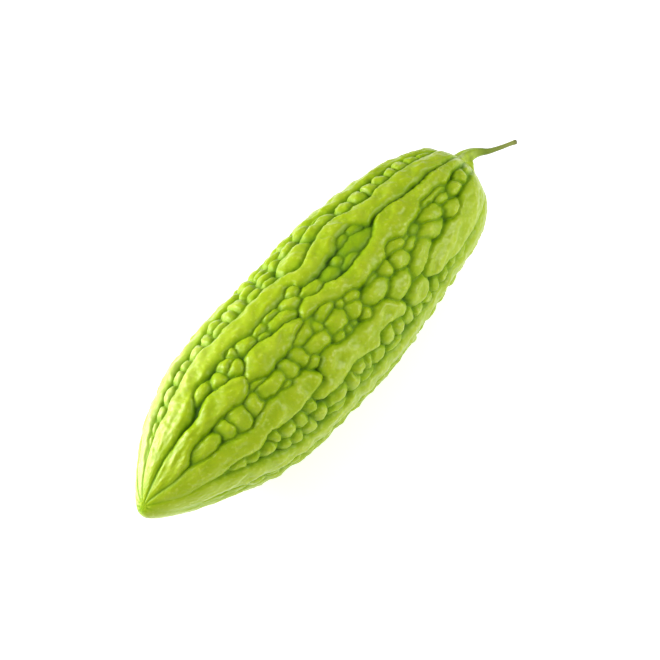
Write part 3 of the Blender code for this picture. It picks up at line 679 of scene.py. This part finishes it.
def stalk_rings():
    """Rings round the stalk's bent path, ribbed most at the flared foot."""
    rows = np.array(STALK_PATH)
    lengths = np.linalg.norm(np.diff(rows[:, :3], axis=0), axis=1)
    travelled = np.concatenate([[0.0], np.cumsum(lengths)])
    steps = np.linspace(0, travelled[-1], STALK_STEPS)
    columns = [smooth_through(travelled, column, steps) for column in rows.T]
    station, across, up_by, radius, rib_depth = columns
    height = up_by + axis_point(FRUIT_LENGTH)[1]
    path = np.stack([station + FRUIT_START, across, height], axis=1)
    ahead = np.gradient(path, axis=0)
    ahead /= np.linalg.norm(ahead, axis=1, keepdims=True)
    past_foot = station - FOOT_SQUARE_TO
    follows = ease(past_foot / (FOOT_FOLLOWS_FROM - FOOT_SQUARE_TO))[:, None]
    ahead = follows * ahead + (1 - follows) * np.array((1.0, 0.0, 0.0))
    turn = np.arange(STALK_SIDES) * math.tau / STALK_SIDES
    rings = []
    for i, forward in enumerate(ahead):
        forward = forward / np.linalg.norm(forward)
        side = np.cross(forward, (0.0, 0.0, 1.0))
        side /= np.linalg.norm(side)
        spokes = np.outer(np.cos(turn), np.cross(side, forward)) + np.outer(np.sin(turn), side)
        ribbed = radius[i] * (1 + rib_depth[i] * np.cos(STALK_RIBS * turn))
        rings.append(path[i] + ribbed[:, None] * spokes)
    return np.array(rings), steps / travelled[-1]


def make_stalk():
    """The ribbed stem, which keeps how far along it each point lies."""
    rings, along = stalk_rings()
    start = rings[0].mean(axis=0)
    end = rings[-1].mean(axis=0)
    mesh = ring_mesh("ribbed_stalk", rings * MM, start * MM, end * MM)
    keep_values(mesh, "along", [*np.repeat(along, STALK_SIDES), 0.0, 1.0])
    add_piece("ribbed_stalk", mesh, stalk_material(), "stalk")


def linear(red, green, blue):
    """A colour given in everyday 0 to 255 values, as the shader wants it."""
    parts = []
    for value in (red, green, blue):
        value /= 255
        parts.append(value / 12.92 if value <= 0.04045 else ((value + 0.055) / 1.055) ** 2.4)
    return (*parts, 1.0)


def set_inputs(node, values):
    """Sets a node's own values by the names of its inputs."""
    for label, value in values.items():
        node.inputs[label].default_value = value


def new_material(name):
    """A material with its node tree and its shader."""
    material = bpy.data.materials.new(name)
    material.use_nodes = True
    tree = material.node_tree
    return material, tree, tree.nodes["Principled BSDF"]


def new_group(name, inputs, outputs):
    """A shader node group that takes and gives named numbers."""
    group = bpy.data.node_groups.new(name, "ShaderNodeTree")
    for label in inputs:
        group.interface.new_socket(label, in_out="INPUT", socket_type="NodeSocketFloat")
    for label in outputs:
        group.interface.new_socket(label, in_out="OUTPUT", socket_type="NodeSocketFloat")
    return group, group.nodes.new("NodeGroupInput"), group.nodes.new("NodeGroupOutput")


def place_group(tree, group, values):
    """Places a node group in a material with the material's own values."""
    node = tree.nodes.new("ShaderNodeGroup")
    node.node_tree = group
    set_inputs(node, values)
    return node


def rescale(tree, value, given, wanted=(0.0, 1.0)):
    """Maps a value from one range to another with soft ends, clamped."""
    node = tree.nodes.new("ShaderNodeMapRange")
    node.interpolation_type = "SMOOTHSTEP"
    set_inputs(node, {"From Min": given[0], "From Max": given[1]})
    set_inputs(node, {"To Min": wanted[0], "To Max": wanted[1]})
    tree.links.new(value, node.inputs["Value"])
    return node.outputs["Result"]


def combine(tree, operation, first, second):
    """Adds or multiplies two values, the second of which may be a plain number."""
    node = tree.nodes.new("ShaderNodeMath")
    node.operation = operation
    tree.links.new(first, node.inputs[0])
    if isinstance(second, float):
        node.inputs[1].default_value = second
    else:
        tree.links.new(second, node.inputs[1])
    return node.outputs["Value"]


def tint(tree, colour, mask, share, tone):
    """Mixes a share of a tone into a colour where the mask is bright."""
    node = tree.nodes.new("ShaderNodeMix")
    node.data_type = "RGBA"
    node.clamp_factor = True
    tree.links.new(combine(tree, "MULTIPLY", mask, share), node.inputs[MIX_AMOUNT])
    tree.links.new(colour, node.inputs[MIX_FIRST])
    node.inputs[MIX_SECOND].default_value = linear(*tone)
    return node.outputs[MIX_RESULT]


def colour_ramp(tree, value, stops):
    """A colour that changes with a value through the stops of a ramp."""
    node = tree.nodes.new("ShaderNodeValToRGB")
    ramp = node.color_ramp
    for element, (position, colour) in zip(ramp.elements, (stops[0], stops[-1])):
        element.position = position
        element.color = linear(*colour)
    for position, colour in stops[1:-1]:
        ramp.elements.new(position).color = linear(*colour)
    tree.links.new(value, node.inputs["Fac"])
    return node.outputs["Color"]


def kept_value(tree, name):
    """A number that the mesh keeps at its points."""
    node = tree.nodes.new("ShaderNodeAttribute")
    node.attribute_name = name
    return node.outputs["Fac"]


def object_noise(group, taken, scale_name, detail):
    """Noise fixed to the object, with its scale from one of the group's inputs."""
    place = group.nodes.new("ShaderNodeTexCoord")
    node = group.nodes.new("ShaderNodeTexNoise")
    node.inputs["Detail"].default_value = detail
    group.links.new(place.outputs["Object"], node.inputs["Vector"])
    group.links.new(taken.outputs[scale_name], node.inputs["Scale"])
    return node.outputs["Fac"]


def mottling_group():
    """Soft cloudy patches and fine pale flecks of living plant skin."""
    group, taken, given = new_group(
        "mottling", ("Patch Scale", "Fleck Scale"), ("Patches", "Flecks"))
    patches = object_noise(group, taken, "Patch Scale", detail=3.0)
    flecks = object_noise(group, taken, "Fleck Scale", detail=1.5)
    group.links.new(rescale(group, patches, PATCH_RANGE), given.inputs["Patches"])
    group.links.new(rescale(group, flecks, FLECK_RANGE), given.inputs["Flecks"])
    return group


def grain_group():
    """Fine grain of a waxy skin, as a height."""
    group, taken, given = new_group("skin_grain", ("Pore Scale", "Dimple Scale"), ("Height",))
    pores = object_noise(group, taken, "Pore Scale", detail=2.0)
    dimples = object_noise(group, taken, "Dimple Scale", detail=1.0)
    faint = combine(group, "MULTIPLY", pores, PORE_SHARE)
    group.links.new(combine(group, "ADD", faint, dimples), given.inputs["Height"])
    return group


MOTTLING = mottling_group()
GRAIN = grain_group()


def add_grain(tree, shader, pores, depth):
    """Gives a material its fine grain, as a bump."""
    grain = place_group(tree, GRAIN, pores)
    bump = tree.nodes.new("ShaderNodeBump")
    set_inputs(bump, depth)
    tree.links.new(grain.outputs["Height"], bump.inputs["Height"])
    tree.links.new(bump.outputs["Normal"], shader.inputs["Normal"])


def skin_material():
    """Waxy green skin: deep green in the creases as painted shade, yellow green on the crests,
    with a painted sheen on the crests by the tip.
    """
    material, tree, shader = new_material("waxy_skin")
    height = kept_value(tree, "height")
    mottling = place_group(tree, MOTTLING, SKIN_MOTTLING)
    crest = rescale(tree, height, CREST_RANGE)
    patches = combine(tree, "MULTIPLY", mottling.outputs["Patches"], crest)
    flecks = combine(tree, "MULTIPLY", mottling.outputs["Flecks"], crest)
    # Painted sheen: crests by the tip, on the flank that faces the key light, turned pale as if
    # glaring
    painted_sheen = combine(tree, "MULTIPLY", kept_value(tree, "pale"), rescale(tree, height, PAINTED_SHEEN_RANGE))
    # The ramp darkens the creases as painted shade
    colour = colour_ramp(tree, height, SKIN_RAMP)
    colour = tint(tree, colour, patches, PATCH_SHARE, PATCH_COLOUR)
    colour = tint(tree, colour, painted_sheen, PAINTED_SHEEN_SHARE, PAINTED_SHEEN_COLOUR)
    colour = tint(tree, colour, flecks, FLECK_SHARE, FLECK_COLOUR)
    roughness = rescale(tree, height, SMOOTHING_RANGE, SKIN_ROUGHNESS)
    coat = combine(tree, "MULTIPLY", crest, COAT_SHARE)
    tree.links.new(colour, shader.inputs["Base Color"])
    tree.links.new(roughness, shader.inputs["Roughness"])
    tree.links.new(coat, shader.inputs["Coat Weight"])
    set_inputs(shader, SKIN_FINISH)
    add_grain(tree, shader, SKIN_PORES, SKIN_BUMP)
    return material


def stalk_material():
    """Green stem: yellow green at the foot, dull olive along it, brown at the cut."""
    material, tree, shader = new_material("green_stem")
    mottling = place_group(tree, MOTTLING, STALK_MOTTLING)
    colour = colour_ramp(tree, kept_value(tree, "along"), STALK_RAMP)
    colour = tint(tree, colour, mottling.outputs["Patches"], STREAK_SHARE, STREAK_COLOUR)
    tree.links.new(colour, shader.inputs["Base Color"])
    set_inputs(shader, STALK_FINISH)
    add_grain(tree, shader, STALK_PORES, STALK_BUMP)
    return material


def floor_material():
    """A pale light table, which glows a little."""
    material, _, shader = new_material("pale_floor")
    set_inputs(shader, FLOOR_FINISH)
    return material


def make_floor():
    """The table top that the fruit lies on."""
    reach = FLOOR_REACH
    mesh = bpy.data.meshes.new("floor")
    corners = [(-reach, -reach, 0), (reach, -reach, 0), (reach, reach, 0), (-reach, reach, 0)]
    mesh.from_pydata(corners, [], [(0, 1, 2, 3)])
    mesh.materials.append(floor_material())
    floor = bpy.data.objects.new("floor", mesh)
    bpy.context.scene.collection.objects.link(floor)


def camera_axes():
    """The camera's right, up and back directions."""
    azimuth = math.radians(CAMERA_AZIMUTH)
    elevation = math.radians(CAMERA_ELEVATION)
    level = math.cos(elevation)
    back = Vector((math.sin(azimuth) * level, -math.cos(azimuth) * level, math.sin(elevation)))
    right = Vector((math.cos(azimuth), math.sin(azimuth), 0.0))
    return right, back.cross(right), back


def make_camera():
    """A long lens that looks down on the fruit."""
    data = bpy.data.cameras.new("camera")
    data.lens = CAMERA_LENS
    data.sensor_width = CAMERA_SENSOR
    camera = bpy.data.objects.new("camera", data)
    bpy.context.scene.collection.objects.link(camera)
    right, up, back = camera_axes()
    turn = Matrix((right, up, back)).transposed().to_4x4()
    turn.translation = Vector(CAMERA_AIM) + back * CAMERA_DISTANCE
    camera.matrix_world = turn
    bpy.context.scene.camera = camera


def make_light(name, offset, size, power):
    """A square soft light that faces the fruit, placed by the camera's directions."""
    data = bpy.data.lights.new(name, "AREA")
    data.energy = power
    data.size = size
    light = bpy.data.objects.new(name, data)
    bpy.context.scene.collection.objects.link(light)
    place = Vector()
    for direction, distance in zip(camera_axes(), offset):
        place += direction * distance
    light.location = place + Vector(CAMERA_AIM)
    light.rotation_euler = place.to_track_quat("Z", "Y").to_euler()


def make_lighting():
    """Three soft lights in pale, even surroundings."""
    for light in LIGHTS:
        make_light(*light)
    world = bpy.data.worlds.new("studio")
    world.use_nodes = True
    set_inputs(world.node_tree.nodes["Background"], SURROUNDINGS)
    bpy.context.scene.world = world
    bpy.context.scene.view_settings.view_transform = "Standard"


make_camera()
make_lighting()
make_floor()
make_fruit()
make_stalk()
